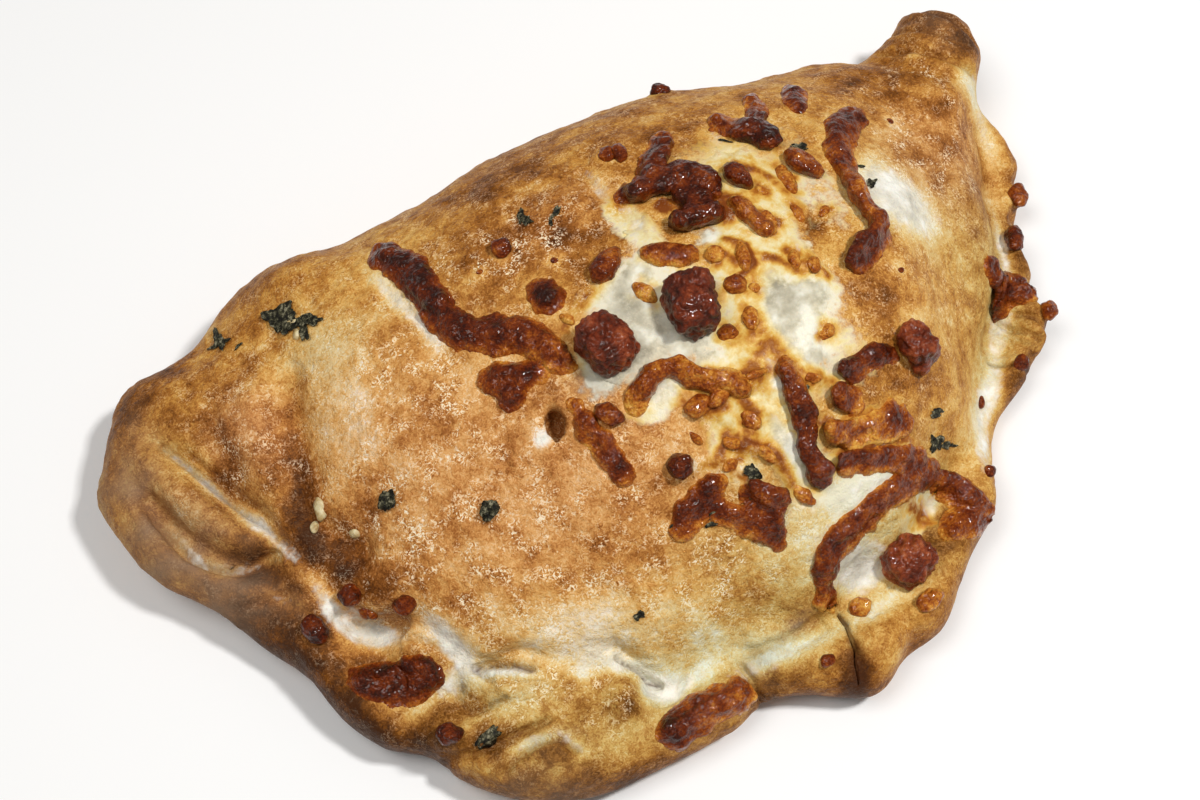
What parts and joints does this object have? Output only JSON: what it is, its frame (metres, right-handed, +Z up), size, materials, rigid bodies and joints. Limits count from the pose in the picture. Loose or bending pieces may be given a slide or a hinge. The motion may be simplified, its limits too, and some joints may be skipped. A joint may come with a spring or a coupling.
{
  "type": "panzerotto",
  "caption": "Baked folded half-moon of dough with a pinched rim, topped with browned cheese strands, melted cheese, ham cubes and herbs.",
  "frame": {"origin": "middle of the bounding box in plan, on the flat underside that rests on the table", "axes": "+X along the fold from the left corner to the right corner, +Y from the pinched rim to the rounded fold, +Z up"},
  "size_m": [0.2088, 0.1318, 0.0537],
  "materials": {
    "dough": "golden baked crust with a faint oily sheen",
    "melted_cheese": "pale melted cheese, slightly glossy",
    "browned_cheese": "browned glossy cheese",
    "ham": "baked moist ham",
    "herb": "dried herb leaf"
  },
  "bodies": {
    "root": {"cheese_arc": "browned_cheese", "cheese_cluster_fold": "browned_cheese", "cheese_cluster_low": "browned_cheese", "cheese_cluster_top": "browned_cheese", "cheese_column": "browned_cheese", "cheese_crumb_left": "browned_cheese", "cheese_crumb_pool": "browned_cheese", "cheese_crumb_right": "browned_cheese", "cheese_curl_pool": "browned_cheese", "cheese_drop": "browned_cheese", "cheese_flake_crown": "browned_cheese", "cheese_flake_fold": "browned_cheese", "cheese_flake_ham": "browned_cheese", "cheese_flake_mid": "browned_cheese", "cheese_fork": "browned_cheese", "cheese_rim_front": "browned_cheese", "cheese_rim_left": "browned_cheese", "cheese_rim_right": "browned_cheese", "cheese_strand_fold": "browned_cheese", "cheese_strand_ham": "browned_cheese", "cheese_strand_low": "browned_cheese", "cheese_strand_mid": "browned_cheese", "cheese_strand_right": "browned_cheese", "dough": "dough", "ham_front": "ham", "ham_left": "ham", "ham_middle": "ham", "ham_right": "ham", "herb_leaf": "herb", "melted_cheese": "melted_cheese"}
  },
  "joints": []
}
